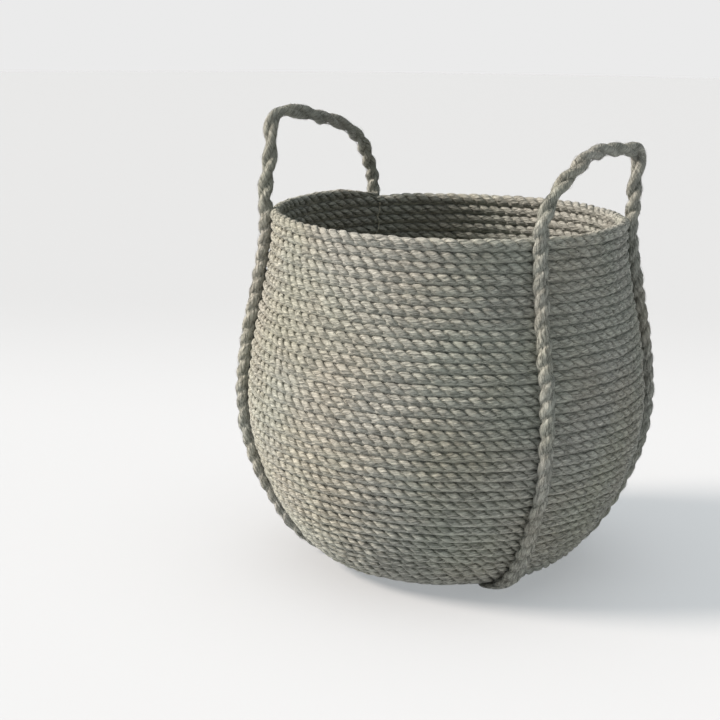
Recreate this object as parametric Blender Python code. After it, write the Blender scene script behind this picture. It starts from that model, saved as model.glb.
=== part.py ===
"""Round laundry basket of coiled rope, with a sling rope that makes its two handles.

One rope winds from the middle of the base outwards, turns up at the base's edge and climbs the
wall to the rim. A thicker rope runs down the outside of the wall as four legs, passes under the
base as two flattened runs, and stands above the rim as two loops, the handles. Each handle
bends about the line through the tops of its two legs.

Metres, +Z up. The origin is on the floor at the middle of the base, and the front is -Y.
An azimuth is measured from the front (-Y) towards +X.
"""

import math

import bmesh
import bpy
from mathutils import Vector

# Overall sizes of the rope wall, measured to the outside of the rope
BASE_FLAT_RADIUS = 0.118
BELLY_RADIUS = 0.225
RIM_RADIUS = 0.198
BELLY_HEIGHT = 0.182  # above the underside of the base
WALL_HEIGHT = 0.398  # above the underside of the base
# How far each end of a wall curve reaches along its own tangent before it bends away
BASE_CURVE_REACH = 0.045
BELLY_CURVE_REACH = 0.070
BELLY_UPPER_REACH = 0.085
RIM_CURVE_REACH = 0.075

# Ropes and thread
COIL_ROPE_DIAMETER = 0.0108
SLING_ROPE_DIAMETER = 0.016
SLING_FLAT_THICKNESS = 0.0065  # where the basket stands on it
SLING_FLAT_WIDTH = 0.024
SLING_FLATTEN_LENGTH = 0.060  # stretch of leg over which the round rope goes flat
THREAD_DIAMETER = 0.002
SPLICE_LENGTH = 0.050
SPLICE_SWELL = 0.002  # the splice is this much wider than the rope it joins

# Clearances between pieces that touch on the real basket
TOUCH_GAP = 0.0003
ROW_GAP = 0.0004
SLING_GAP = 0.0004

# The coil's start beside the middle of the base, as a share of one row
COIL_START = 0.75
# The wall is made in pieces of about one turn each, cut where a leg covers the cut
WALL_PIECES = 38
FACETS_PER_TURN = 18

# The right handle's legs, and the left handle's legs, half a turn round
RIGHT_FRONT_AZIMUTH = 27.0
RIGHT_BACK_AZIMUTH = 94.0
HALF_TURN = 180.0
CUT_AZIMUTH = RIGHT_FRONT_AZIMUTH + HALF_TURN

# Each handle turns about a line this far above the centre of the rim's rope
HINGE_ABOVE_RIM_ROPE = 0.015
# Outline of each loop from its first leg to its second: the share of the way across, and the
# height above the hinge line
RIGHT_LOOP = [
    (0.03, 0.012),
    (0.08, 0.023),
    (0.16, 0.035),
    (0.29, 0.046),
    (0.42, 0.058),
    (0.56, 0.0635),
    (0.74, 0.062),
    (0.91, 0.058),
    (1.00, 0.055),
    (1.035, 0.043),
    (1.02, 0.028),
    (1.005, 0.013),
]
LEFT_LOOP = [
    (0.02, 0.012),
    (0.06, 0.028),
    (0.115, 0.045),
    (0.23, 0.064),
    (0.36, 0.0745),
    (0.50, 0.082),
    (0.67, 0.0905),
    (0.81, 0.0935),
    (0.905, 0.090),
    (0.945, 0.077),
    (0.945, 0.058),
    (0.965, 0.030),
]

COIL_RADIUS = COIL_ROPE_DIAMETER / 2
SLING_RADIUS = SLING_ROPE_DIAMETER / 2
FLAT_HALF = SLING_FLAT_THICKNESS / 2
BASE_UNDERSIDE = SLING_FLAT_THICKNESS + SLING_GAP
RIM_ROPE_Z = BASE_UNDERSIDE + WALL_HEIGHT - COIL_RADIUS
RIM_ROPE_RADIUS = RIM_RADIUS - COIL_RADIUS
LEG_TOP_RADIUS = RIM_RADIUS + SLING_GAP + SLING_RADIUS
HINGE_Z = RIM_ROPE_Z + HINGE_ABOVE_RIM_ROPE
LEG_TOP_Z = HINGE_Z - SLING_RADIUS - TOUCH_GAP

ROPE_COLOUR = (0.56, 0.53, 0.46)
SLING_COLOUR = (0.58, 0.55, 0.48)
THREAD_COLOUR = (0.72, 0.69, 0.62)

PROFILE_STEPS = 240
SECTION_SIDES = 8
LEG_SPACING = 0.022
LEG_SAG = 0.00025  # how far a straight stretch of a leg may cut inside its curve
RUN_STATIONS = 12
LOOP_STATIONS_PER_SPAN = 2
THREAD_SIDES = 4
THREAD_STATIONS = 20
THREAD_STOPS_BELOW_RIM = 0.012
THREAD_STOPS_BEFORE_BASE = 0.030
RUN_BOW = 0.85  # how strongly a run heads for the middle before it bends across, to its chord


def clear_scene():
    for thing in list(bpy.data.objects):
        bpy.data.objects.remove(thing, do_unlink=True)


def make_material(name, colour, roughness):
    material = bpy.data.materials.new(name)
    material.use_nodes = True
    shader = material.node_tree.nodes["Principled BSDF"]
    shader.inputs["Base Color"].default_value = (*colour, 1.0)
    shader.inputs["Roughness"].default_value = roughness
    shader.inputs["Metallic"].default_value = 0.0
    return material


def bezier(start, start_reach, end_reach, end, share):
    """A point on the cubic curve between two ends, with their inner control points given."""
    rest = 1.0 - share
    return (
        start * rest**3
        + start_reach * (3 * rest * rest * share)
        + end_reach * (3 * rest * share * share)
        + end * share**3
    )


def wall_profile():
    """Distance along, radius and height of the coil rope's centre, from the middle to the rim."""
    base_z = BASE_UNDERSIDE + COIL_RADIUS
    belly_z = BASE_UNDERSIDE + BELLY_HEIGHT
    belly_radius = BELLY_RADIUS - COIL_RADIUS
    centre = Vector((0.0, base_z))
    edge = Vector((BASE_FLAT_RADIUS, base_z))
    belly = Vector((belly_radius, belly_z))
    rim = Vector((RIM_ROPE_RADIUS, RIM_ROPE_Z))
    points = [centre]
    for step in range(PROFILE_STEPS + 1):
        share = step / PROFILE_STEPS
        outward = edge + Vector((BASE_CURVE_REACH, 0.0))
        below = belly - Vector((0.0, BELLY_CURVE_REACH))
        points.append(bezier(edge, outward, below, belly, share))
    for step in range(1, PROFILE_STEPS + 1):
        share = step / PROFILE_STEPS
        above = belly + Vector((0.0, BELLY_UPPER_REACH))
        under_rim = rim - Vector((0.0, RIM_CURVE_REACH))
        points.append(bezier(belly, above, under_rim, rim, share))
    along = [0.0]
    for before, after in zip(points, points[1:]):
        along.append(along[-1] + (after - before).length)
    return along, points


ALONG, PROFILE = wall_profile()
BASE_EDGE = BASE_FLAT_RADIUS
RIM_END = ALONG[-1]
WALL_TURNS = math.floor((RIM_END - BASE_EDGE) / (COIL_ROPE_DIAMETER + ROW_GAP))
ROW_PITCH = (RIM_END - BASE_EDGE) / WALL_TURNS


def profile_at(distance):
    """Radius, height and unit tangent of the rope's centre at a distance along the profile."""
    low, high = 0, len(ALONG) - 1
    while high - low > 1:
        middle = (low + high) // 2
        if ALONG[middle] <= distance:
            low = middle
        else:
            high = middle
    share = (distance - ALONG[low]) / (ALONG[high] - ALONG[low])
    point = PROFILE[low].lerp(PROFILE[high], share)
    return point, (PROFILE[high] - PROFILE[low]).normalized()


def around(azimuth, radius, height):
    return Vector((radius * math.sin(azimuth), -radius * math.cos(azimuth), height))


def coil_corner(number):
    """A facet corner of the coil, counted back from the end of the rope at the rim, which lies in
    the middle of a facet. The rope climbs towards smaller azimuths."""
    facets_to_go = number + 0.5
    turns_to_go = facets_to_go / FACETS_PER_TURN
    point, _ = profile_at(RIM_END - turns_to_go * ROW_PITCH)
    azimuth = math.radians(CUT_AZIMUTH) + turns_to_go * math.tau
    return around(azimuth, point.x, point.y)


def coil_points(start, end):
    """Centre points of the coil between two distances along the profile: both ends, and every
    facet corner between them. All turns share their facet corners, so neighbours stay parallel,
    and an end lies on its straight facet, so the two faces at a cut are parallel too."""

    def place(distance):
        return (RIM_END - distance) / ROW_PITCH * FACETS_PER_TURN - 0.5

    def on_facet(number):
        below = math.floor(number)
        return coil_corner(below).lerp(coil_corner(below + 1), number - below)

    near_end, near_start = math.ceil(place(end)), math.floor(place(start))
    corners = [coil_corner(n) for n in range(near_start, near_end - 1, -1)]
    return [on_facet(place(start)), *corners, on_facet(place(end))]


def rope_from_points(name, points, radius, material):
    """A six-sided tube along a line of points, closed at both ends."""
    curve = bpy.data.curves.new(name, "CURVE")
    curve.dimensions = "3D"
    curve.twist_mode = "Z_UP"
    curve.bevel_depth = radius
    curve.bevel_resolution = 1
    curve.use_fill_caps = True
    spline = curve.splines.new("POLY")
    spline.points.add(len(points) - 1)
    for corner, point in zip(spline.points, points):
        corner.co = (*point, 1.0)
    curve.materials.append(material)
    rope = bpy.data.objects.new(name, curve)
    bpy.context.scene.collection.objects.link(rope)
    return rope


def end_gap(distance):
    """Half of the gap between two pieces of the coil, as a distance along the profile."""
    point, _ = profile_at(distance)
    return TOUCH_GAP / 2 / (math.tau * point.x) * ROW_PITCH


def make_coil(material):
    start = COIL_START * ROW_PITCH
    end = BASE_EDGE - end_gap(BASE_EDGE)
    rope_from_points("base_coil", coil_points(start, end), COIL_RADIUS, material)
    piece_length = (RIM_END - BASE_EDGE) / WALL_PIECES
    for number in range(WALL_PIECES):
        start = BASE_EDGE + number * piece_length
        start += end_gap(start)
        end = BASE_EDGE + (number + 1) * piece_length
        end -= end_gap(end)
        name = f"wall_turn_{number + 1:02d}"
        rope_from_points(name, coil_points(start, end), COIL_RADIUS, material)


def loft(name, stations, sides, material):
    """A closed tube through stations of (centre, across, up, half width, half height). Its flat
    sides face along across and up, at exactly the half sizes."""
    shape = bmesh.new()
    rings = []
    reach = 1.0 / math.cos(math.pi / sides)
    for centre, across, up, half_width, half_height in stations:
        ring = []
        for side in range(sides):
            angle = math.tau * (side + 0.5) / sides
            offset = across * (half_width * reach * math.cos(angle))
            offset += up * (half_height * reach * math.sin(angle))
            ring.append(shape.verts.new(centre + offset))
        rings.append(ring)
    for before, after in zip(rings, rings[1:]):
        for side in range(sides):
            following = (side + 1) % sides
            shape.faces.new(
                (before[side], before[following], after[following], after[side])
            )
    shape.faces.new(list(reversed(rings[0])))
    shape.faces.new(rings[-1])
    bmesh.ops.recalc_face_normals(shape, faces=shape.faces)
    mesh = bpy.data.meshes.new(name)
    shape.to_mesh(mesh)
    shape.free()
    mesh.materials.append(material)
    mesh.shade_smooth()
    mesh.set_sharp_from_angle(angle=math.radians(50))
    solid = bpy.data.objects.new(name, mesh)
    bpy.context.scene.collection.objects.link(solid)
    return solid


def ease(share):
    share = min(1.0, max(0.0, share))
    return share * share * (3.0 - 2.0 * share)


def leg_station(distance, azimuth):
    """One section of a leg that lies against the wall, round above and flat at the base."""
    point, tangent = profile_at(distance)
    round_share = ease((distance - BASE_EDGE) / SLING_FLATTEN_LENGTH)
    half_height = FLAT_HALF + (SLING_RADIUS - FLAT_HALF) * round_share
    flat_half_width = SLING_FLAT_WIDTH / 2
    half_width = flat_half_width + (SLING_RADIUS - flat_half_width) * round_share
    outward = Vector((tangent.y, -tangent.x))
    centre = point + outward * (COIL_RADIUS + SLING_GAP + half_height)
    sideways = around(azimuth + math.pi / 2, 1.0, 0.0)
    up = around(azimuth, outward.x, outward.y)
    return around(azimuth, centre.x, centre.y), sideways, up, half_width, half_height


def leg_distances():
    """Places along the profile, closer together where it curves more."""
    steps = PROFILE_STEPS
    places = [BASE_EDGE]
    _, heading = profile_at(BASE_EDGE)
    for step in range(1, steps):
        distance = BASE_EDGE + (RIM_END - BASE_EDGE) * step / steps
        length = distance - places[-1]
        _, tangent = profile_at(distance)
        sag = length * heading.angle(tangent) / 8
        if length > LEG_SPACING or sag > LEG_SAG:
            places.append(distance)
            heading = tangent
    return [*places, RIM_END]


def make_leg(name, azimuth_degrees, material):
    azimuth = math.radians(azimuth_degrees)
    stations = [leg_station(distance, azimuth) for distance in leg_distances()]
    _, sideways, up, _, _ = stations[-1]
    top = around(azimuth, LEG_TOP_RADIUS, LEG_TOP_Z)
    stations.append((top, sideways, up, SLING_RADIUS, SLING_RADIUS))
    return loft(name, stations, SECTION_SIDES, material)


def run_point(first, second, share):
    """Centre and heading of the rope under the base: in from the foot of one leg, across, and
    out to the foot of the other."""
    radius = BASE_EDGE - TOUCH_GAP
    start = around(first, radius, FLAT_HALF)
    end = around(second, radius, FLAT_HALF)
    reach = (end - start).length * RUN_BOW / 3
    inward = start - around(first, reach, 0.0)
    outward = end - around(second, reach, 0.0)
    centre = bezier(start, inward, outward, end, share)
    step = 0.001
    ahead = bezier(start, inward, outward, end, min(1.0, share + step))
    behind = bezier(start, inward, outward, end, max(0.0, share - step))
    return centre, (ahead - behind).normalized()


def run_length(first, second):
    points = [run_point(first, second, n / 50)[0] for n in range(51)]
    return sum((b - a).length for a, b in zip(points, points[1:]))


def make_run(name, first_degrees, second_degrees, start, end, material, swell=0.0):
    """The flattened rope under the base, from one share of its way to another."""
    first, second = math.radians(first_degrees), math.radians(second_degrees)
    stations = []
    steps = max(3, round(RUN_STATIONS * (end - start)))
    for step in range(steps + 1):
        share = start + (end - start) * step / steps
        centre, heading = run_point(first, second, share)
        sideways = heading.cross(Vector((0.0, 0.0, 1.0)))
        half_width = SLING_FLAT_WIDTH / 2 + swell
        up = Vector((0.0, 0.0, 1.0))
        stations.append((centre, sideways, up, half_width, FLAT_HALF))
    return loft(name, stations, SECTION_SIDES, material)


def make_runs(rope, binding):
    """The front run is one piece. The two ends of the sling rope meet in the back run, in a
    bound splice."""
    left_back = RIGHT_FRONT_AZIMUTH + HALF_TURN
    left_front = RIGHT_BACK_AZIMUTH + HALF_TURN
    make_run(
        "sling_run_front", RIGHT_FRONT_AZIMUTH, left_front - 360.0, 0.0, 1.0, rope
    )
    back = (RIGHT_BACK_AZIMUTH, left_back)
    length = run_length(*map(math.radians, back))
    splice_half = SPLICE_LENGTH / 2 / length
    gap = TOUCH_GAP / length
    make_run("sling_run_back_right", *back, 0.0, 0.5 - splice_half - gap, rope)
    make_run(
        "sling_splice",
        *back,
        0.5 - splice_half,
        0.5 + splice_half,
        binding,
        swell=SPLICE_SWELL,
    )
    make_run("sling_run_back_left", *back, 0.5 + splice_half + gap, 1.0, rope)


def smooth_line(points, per_span):
    """Points on a smooth curve through the given points (Catmull-Rom)."""
    line = []
    for index in range(len(points) - 1):
        before = points[max(0, index - 1)]
        start = points[index]
        end = points[index + 1]
        after = points[min(len(points) - 1, index + 2)]
        for step in range(per_span):
            share = step / per_span
            start_reach = start + (end - before) / 6
            end_reach = end - (after - start) / 6
            line.append(bezier(start, start_reach, end_reach, end, share))
    line.append(points[-1])
    return line


def make_handle(name, first_degrees, second_degrees, outline, material):
    """A loop that stands on its hinge line, with round ends centred on that line, so that they
    clear the leg tops at every angle."""
    first = around(math.radians(first_degrees), LEG_TOP_RADIUS, HINGE_Z)
    second = around(math.radians(second_degrees), LEG_TOP_RADIUS, HINGE_Z)
    across = second - first
    up = Vector((0.0, 0.0, 1.0))
    normal = across.cross(up).normalized()
    corners = [first]
    for share, height in outline:
        corners.append(first + across * share + up * height)
    corners.append(second)
    line = [point - first for point in smooth_line(corners, LOOP_STATIONS_PER_SPAN)]
    stations = []

    def add(centre, heading, radius):
        upright = normal.cross(heading)
        stations.append((centre, normal, upright, radius, radius))

    round_end = [math.radians(angle) for angle in (75.0, 45.0, 20.0)]
    for angle in round_end:
        below = up * (-SLING_RADIUS * math.sin(angle))
        add(line[0] + below, up, SLING_RADIUS * math.cos(angle))
    add(line[0], up, SLING_RADIUS)
    for before, here, after in zip(line, line[1:], line[2:]):
        add(here, (after - before).normalized(), SLING_RADIUS)
    add(line[-1], -up, SLING_RADIUS)
    for angle in reversed(round_end):
        below = up * (-SLING_RADIUS * math.sin(angle))
        add(line[-1] + below, -up, SLING_RADIUS * math.cos(angle))
    loop = loft(name, stations, SECTION_SIDES, material)
    hinge = bpy.data.objects.new(name + "_hinge", None)
    hinge.location = first
    bpy.context.scene.collection.objects.link(hinge)
    loop.parent = hinge
    return loop


def facet_share(azimuth_degrees):
    """How far in a facet of the coil lies at an azimuth, as a share of its corner's radius."""
    facet = 360.0 / FACETS_PER_TURN
    from_middle = (azimuth_degrees - CUT_AZIMUTH + facet / 2) % facet - facet / 2
    return math.cos(math.radians(facet / 2)) / math.cos(math.radians(from_middle))


def make_thread(name, azimuth_degrees, material):
    """The thread that sews a leg to the wall, where it shows on the inside."""
    azimuth = math.radians(azimuth_degrees)
    start = BASE_EDGE + THREAD_STOPS_BEFORE_BASE
    end = RIM_END - THREAD_STOPS_BELOW_RIM
    half = THREAD_DIAMETER / 2
    inset = COIL_RADIUS + TOUCH_GAP + THREAD_DIAMETER
    sideways = around(azimuth + math.pi / 2, 1.0, 0.0)
    stations = []
    for step in range(THREAD_STATIONS + 1):
        distance = start + (end - start) * step / THREAD_STATIONS
        point, tangent = profile_at(distance)
        inward = Vector((-tangent.y, tangent.x))
        centre = Vector((point.x * facet_share(azimuth_degrees), point.y))
        centre += inward * inset
        up = around(azimuth, inward.x, inward.y)
        station = around(azimuth, centre.x, centre.y), sideways, up, half, half
        stations.append(station)
    return loft(name, stations, THREAD_SIDES, material)


def main():
    clear_scene()
    coil = make_material("coil_rope", ROPE_COLOUR, 0.85)
    sling = make_material("sling_rope", SLING_COLOUR, 0.85)
    thread = make_material("thread", THREAD_COLOUR, 0.7)
    make_coil(coil)
    legs = {
        "right_front": RIGHT_FRONT_AZIMUTH,
        "right_back": RIGHT_BACK_AZIMUTH,
        "left_back": RIGHT_FRONT_AZIMUTH + HALF_TURN,
        "left_front": RIGHT_BACK_AZIMUTH + HALF_TURN,
    }
    for place, azimuth in legs.items():
        make_leg("sling_leg_" + place, azimuth, sling)
        make_thread("leg_stitching_" + place, azimuth, thread)
    make_runs(sling, thread)
    make_handle(
        "handle_loop_right", legs["right_front"], legs["right_back"], RIGHT_LOOP, sling
    )
    make_handle(
        "handle_loop_left", legs["left_back"], legs["left_front"], LEFT_LOOP, sling
    )


main()
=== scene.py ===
# %% [markdown]
# # A round laundry basket of coiled rope
# A real basket of this kind is one long two-strand rope of natural fibre. It is wound round and
# round, first flat for the base and then upwards for the wall, and every row is sewn to the row
# below it. A thicker rope runs down the outside, under the base and up the other side, and it
# stands above the rim as two loops, the handles. The solid model already fixes all sizes, so this
# script only loads it and dresses it: each plain tube there is replaced by a twisted rope.

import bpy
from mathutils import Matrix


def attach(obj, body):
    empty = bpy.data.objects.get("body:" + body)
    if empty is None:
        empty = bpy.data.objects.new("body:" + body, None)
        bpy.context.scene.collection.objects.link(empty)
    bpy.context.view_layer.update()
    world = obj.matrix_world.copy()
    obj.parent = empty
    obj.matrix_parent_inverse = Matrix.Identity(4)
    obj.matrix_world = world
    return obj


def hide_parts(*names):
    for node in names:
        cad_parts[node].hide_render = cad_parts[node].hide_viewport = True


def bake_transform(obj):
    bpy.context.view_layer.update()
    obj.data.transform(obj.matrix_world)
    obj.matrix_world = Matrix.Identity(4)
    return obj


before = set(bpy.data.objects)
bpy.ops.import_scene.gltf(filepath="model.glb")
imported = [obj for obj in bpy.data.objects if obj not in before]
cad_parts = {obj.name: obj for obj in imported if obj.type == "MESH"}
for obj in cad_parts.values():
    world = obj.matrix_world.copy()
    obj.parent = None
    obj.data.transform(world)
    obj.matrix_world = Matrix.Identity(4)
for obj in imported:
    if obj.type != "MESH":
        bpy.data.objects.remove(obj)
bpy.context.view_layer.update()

# %% Modules for the rest of the lesson
import math

import bmesh
import bpy
import numpy as np
from mathutils import Matrix, Vector

# %% [markdown]
# ## Sizes
# Lengths are in metres. An azimuth is measured from the front of the basket (-Y) towards +X. The
# wall's outline is two smooth curves, one from the edge of the flat base to the belly and one from
# the belly to the rim. They are the same curves that the solid model uses, so the fine rope lands
# exactly where the plain tubes are.

# %% Sizes of the wall and its ropes
BASE_FLAT_RADIUS = 0.118
BELLY_RADIUS = 0.225
RIM_RADIUS = 0.198
BELLY_HEIGHT = 0.182
WALL_HEIGHT = 0.398
BASE_CURVE_REACH = 0.045
BELLY_CURVE_REACH = 0.070
BELLY_UPPER_REACH = 0.085
RIM_CURVE_REACH = 0.075
COIL_ROPE_RADIUS = 0.0054
SLING_ROPE_RADIUS = 0.008
SLING_FLAT_HALF = 0.00325
SLING_FLAT_HALF_WIDTH = 0.012
SLING_FLATTEN_LENGTH = 0.060
SLING_GAP = 0.0004
ROW_GAP = 0.0004
WALL_PIECES = 38
COIL_START = 0.05  # the rope starts almost on the axis, so that no hole is left there
LEG_AZIMUTHS = {"right_front": 27.0, "right_back": 94.0, "left_back": 207.0, "left_front": 274.0}
CUT_AZIMUTH = LEG_AZIMUTHS["left_back"]
BASE_UNDERSIDE = 2 * SLING_FLAT_HALF + SLING_GAP
RIM_ROPE_Z = BASE_UNDERSIDE + WALL_HEIGHT - COIL_ROPE_RADIUS
RIM_ROPE_RADIUS = RIM_RADIUS - COIL_ROPE_RADIUS
LEG_TOP_RADIUS = RIM_RADIUS + SLING_GAP + SLING_ROPE_RADIUS
HINGE_Z = RIM_ROPE_Z + 0.015
UP = np.array([0.0, 0.0, 1.0])


# %% Helpers for points, curves and slow irregular changes
def around(azimuth, radius, height):
    """Points at an azimuth in radians, as rows of x, y and z."""
    x = radius * np.sin(azimuth)
    y = -radius * np.cos(azimuth)
    return np.stack(np.broadcast_arrays(x, y, height), axis=-1)


def bezier(start, start_reach, end_reach, end, share):
    """Points on the cubic curve between two ends, with their inner control points given."""
    share = np.asarray(share)[..., None]
    rest = 1.0 - share
    near = start * rest**3 + start_reach * (3 * rest**2 * share)
    return near + end_reach * (3 * rest * share**2) + end * share**3


def ease(share):
    share = np.clip(share, 0.0, 1.0)
    return share * share * (3.0 - 2.0 * share)


def unit(vectors):
    return vectors / np.linalg.norm(vectors, axis=-1, keepdims=True)


def wander(distance, spacing, seed):
    """A slow random change from -1 to 1 along a distance, the same on every run."""
    knots = np.random.default_rng(seed).uniform(-1.0, 1.0, 16384)
    place = np.asarray(distance) / spacing + 64.0
    knot = np.floor(place).astype(int)
    share = ease(place - knot)
    return knots[knot % 16384] * (1 - share) + knots[(knot + 1) % 16384] * share


def drift(distance, change, seed):
    """A slow random change. change is its size, and the distance over which it happens."""
    size, spacing = change
    return size * wander(distance, spacing, seed)


def wall_profile(steps=240):
    """Distance along the wall's outline, and radius and height of the rope's centre there."""
    base_z = BASE_UNDERSIDE + COIL_ROPE_RADIUS
    edge = np.array([BASE_FLAT_RADIUS, base_z])
    belly = np.array([BELLY_RADIUS - COIL_ROPE_RADIUS, BASE_UNDERSIDE + BELLY_HEIGHT])
    rim = np.array([RIM_ROPE_RADIUS, RIM_ROPE_Z])
    shares = np.linspace(0.0, 1.0, steps + 1)
    lower = bezier(edge, edge + [BASE_CURVE_REACH, 0], belly - [0, BELLY_CURVE_REACH], belly, shares)
    upper = bezier(belly, belly + [0, BELLY_UPPER_REACH], rim - [0, RIM_CURVE_REACH], rim, shares)
    flat = np.linspace([0.0, base_z], edge, 40)[:-1]
    points = np.concatenate([flat, lower, upper[1:]])
    steps_along = np.linalg.norm(np.diff(points, axis=0), axis=1)
    return np.concatenate([[0.0], np.cumsum(steps_along)]), points


ALONG, PROFILE = wall_profile()
HEADING = unit(np.gradient(PROFILE, ALONG, axis=0))
RIM_END = ALONG[-1]
WALL_TURNS = math.floor((RIM_END - BASE_FLAT_RADIUS) / (2 * COIL_ROPE_RADIUS + ROW_GAP))
ROW_PITCH = (RIM_END - BASE_FLAT_RADIUS) / WALL_TURNS
print(f"outline {RIM_END:.4f} m, {WALL_TURNS} rows in the wall, {ROW_PITCH * 1000:.2f} mm each")


def profile_at(distance):
    """Radius, height, and the outline's heading (outwards, upwards) at distances along it."""
    radius = np.interp(distance, ALONG, PROFILE[:, 0])
    height = np.interp(distance, ALONG, PROFILE[:, 1])
    outwards = np.interp(distance, ALONG, HEADING[:, 0])
    upwards = np.interp(distance, ALONG, HEADING[:, 1])
    return radius, height, outwards, upwards


# %% [markdown]
# ## Twisting a rope
# A two-strand rope could be modelled as two bent curves, but then every curve would need its own
# helix points. It is simpler to do what a rope walk does: lay the rope straight first, and bend it
# afterwards. The section of the two strands is drawn once, as two flattened circles, and
# `bmesh.ops.spin` sweeps it along X while it turns, which gives the twist. After one full turn the
# shape repeats, so that length is copied end to end until there is enough. Both thick ropes also
# get a filler between their strands. In the coil it is flat and stands for the fibre that is sewn
# in between two rows, so that no light shines through the wall. In the sling it is a round core
# that fills the furrows, as in worn rope.


# %% Lay a straight two-strand rope
def draw_ring(rope, sides, thick, wide, middle, turned, aside=0.0):
    """A flattened circle in the YZ plane, beside the rope's middle."""
    ring = bmesh.ops.create_circle(rope, cap_ends=False, radius=1.0, segments=sides)["verts"]
    bmesh.ops.scale(rope, vec=(thick, wide, 1.0), verts=ring)
    bmesh.ops.translate(rope, vec=(middle, aside, 0.0), verts=ring)
    stand_up = Matrix(((0, 0, 1), (1, 0, 0), (0, 1, 0))).to_4x4()
    turn = Matrix.Rotation(turned, 4, "X")
    bmesh.ops.transform(rope, matrix=turn @ stand_up, verts=ring)
    return ring


def lay_rope(name, length, lay, steps, sides, thick, wide, middle, filler=None, yarns=5):
    """A straight rope along +X. It turns once in every lay, the way a right-hand screw does."""
    rope = bmesh.new()
    which = rope.verts.layers.float.new("strand")
    for strand, turned in ((1.0, 0.0), (-1.0, math.pi)):
        for vertex in draw_ring(rope, sides, thick, wide, middle, turned):
            vertex[which] = strand
    if filler:
        draw_ring(rope, 6, filler[0], filler[1], 0.0, 0.0, filler[2])
    bmesh.ops.spin(
        rope,
        geom=rope.verts[:] + rope.edges[:],
        cent=(0, 0, 0),
        axis=(1, 0, 0),
        dvec=(lay / steps, 0, 0),
        angle=math.tau,
        steps=steps,
        use_merge=False,
        use_duplicate=False,
    )
    laid = lay
    while laid < length:
        copy = bmesh.ops.duplicate(rope, geom=rope.verts[:] + rope.edges[:] + rope.faces[:])
        verts = [part for part in copy["geom"] if isinstance(part, bmesh.types.BMVert)]
        bmesh.ops.translate(rope, vec=(laid, 0, 0), verts=verts)
        laid *= 2
    bmesh.ops.remove_doubles(rope, verts=rope.verts, dist=1e-5)
    bmesh.ops.recalc_face_normals(rope, faces=rope.faces)
    for face in rope.faces:
        face.smooth = True
    mesh = bpy.data.meshes.new(name)
    rope.to_mesh(mesh)
    rope.free()
    print(f"{name}: {laid:.2f} m laid, {len(mesh.polygons)} faces")
    return {
        "mesh": mesh,
        "lay": lay,
        "thick": thick,
        "wide": wide,
        "middle": middle,
        "yarns": yarns,
    }


def cut_length(rope, length, name):
    """A closed length of a straight rope."""
    piece = bmesh.new()
    piece.from_mesh(rope["mesh"])
    bmesh.ops.bisect_plane(
        piece,
        geom=piece.verts[:] + piece.edges[:] + piece.faces[:],
        plane_co=(length, 0, 0),
        plane_no=(1, 0, 0),
        dist=1e-7,
        clear_outer=True,
    )
    open_edges = [edge for edge in piece.edges if edge.is_boundary]
    bmesh.ops.holes_fill(piece, edges=open_edges, sides=0)
    for edge in open_edges:
        edge.smooth = False
    mesh = bpy.data.meshes.new(name)
    piece.to_mesh(mesh)
    piece.free()
    return mesh


# %% [markdown]
# ## Bending a rope along its route
# A route is a list of places that the middle of the rope passes, with the direction in which the
# rope's face looks. Every point of the straight rope knows how far along it is, so it can be moved
# to that place on the route and keep its offset from the middle. While the rope is still straight
# two things are stored on it for the material: where each point is on its own strand, so that the
# fibres can follow the strand, and how deep it lies between the strands, where shade is painted.
# Hand-made rope is never even, so its thickness, twist and place wander a little.

# %% Bend a length of rope along a route
YARN_TWIST = 1.6  # turns of a strand's yarns, against each turn of the rope
YARN_DEPTH = 0.11
FLOOR_CLEARANCE = 0.0002
# How much a hand-made rope changes, and over what distance in metres.
THICKNESS_DRIFT = (0.07, 0.060)
STRAND_DRIFT = (0.09, 0.017)
TWIST_DRIFT = (0.10, 0.045)
FACE_DRIFT = (0.10, 0.023)
SIDE_DRIFT = (0.10, 0.019)
FREE_ROOM = 0.72  # the share of its room that a rope fills before its neighbours press it flat
CORE_THINNING = 2.5  # how much faster the core gets thin than the strands around it


def make_route(centre, face, lay, thick=1.0, wide=1.0, slim=1.0):
    """Places along a rope, with the lengths and the turns of twist up to each. thick and wide scale
    it towards its face and sideways, and slim makes both strands narrower."""
    steps = np.linalg.norm(np.diff(centre, axis=0), axis=1)
    length = np.concatenate([[0.0], np.cumsum(steps)])
    tangent = unit(np.gradient(centre, length, axis=0))
    face = unit(face - tangent * np.sum(face * tangent, axis=1, keepdims=True))
    side = np.cross(tangent, face)
    sizes = [np.broadcast_to(value, length.shape) for value in (lay, thick, wide, slim)]
    turns = np.concatenate([[0.0], np.cumsum(steps / ((sizes[0][1:] + sizes[0][:-1]) / 2))])
    columns = np.column_stack([centre, face, side, *sizes[1:], turns])
    return {"length": length, "columns": columns}


def read_straight(mesh, rope):
    """How far along each point is, and its place on its own strand's section, untwisted."""
    count = len(mesh.vertices)
    flat = np.empty(count * 3, np.float32)
    mesh.vertices.foreach_get("co", flat)
    strand = np.empty(count, np.float32)
    mesh.attributes["strand"].data.foreach_get("value", strand)
    mesh.attributes.remove(mesh.attributes["strand"])
    along, y, z = flat.reshape(-1, 3).astype(float).T
    twist = math.tau * along / rope["lay"]
    own_y = y * np.cos(twist) + z * np.sin(twist)
    own_z = z * np.cos(twist) - y * np.sin(twist)
    return along, own_y, own_z, np.round(strand)


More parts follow.
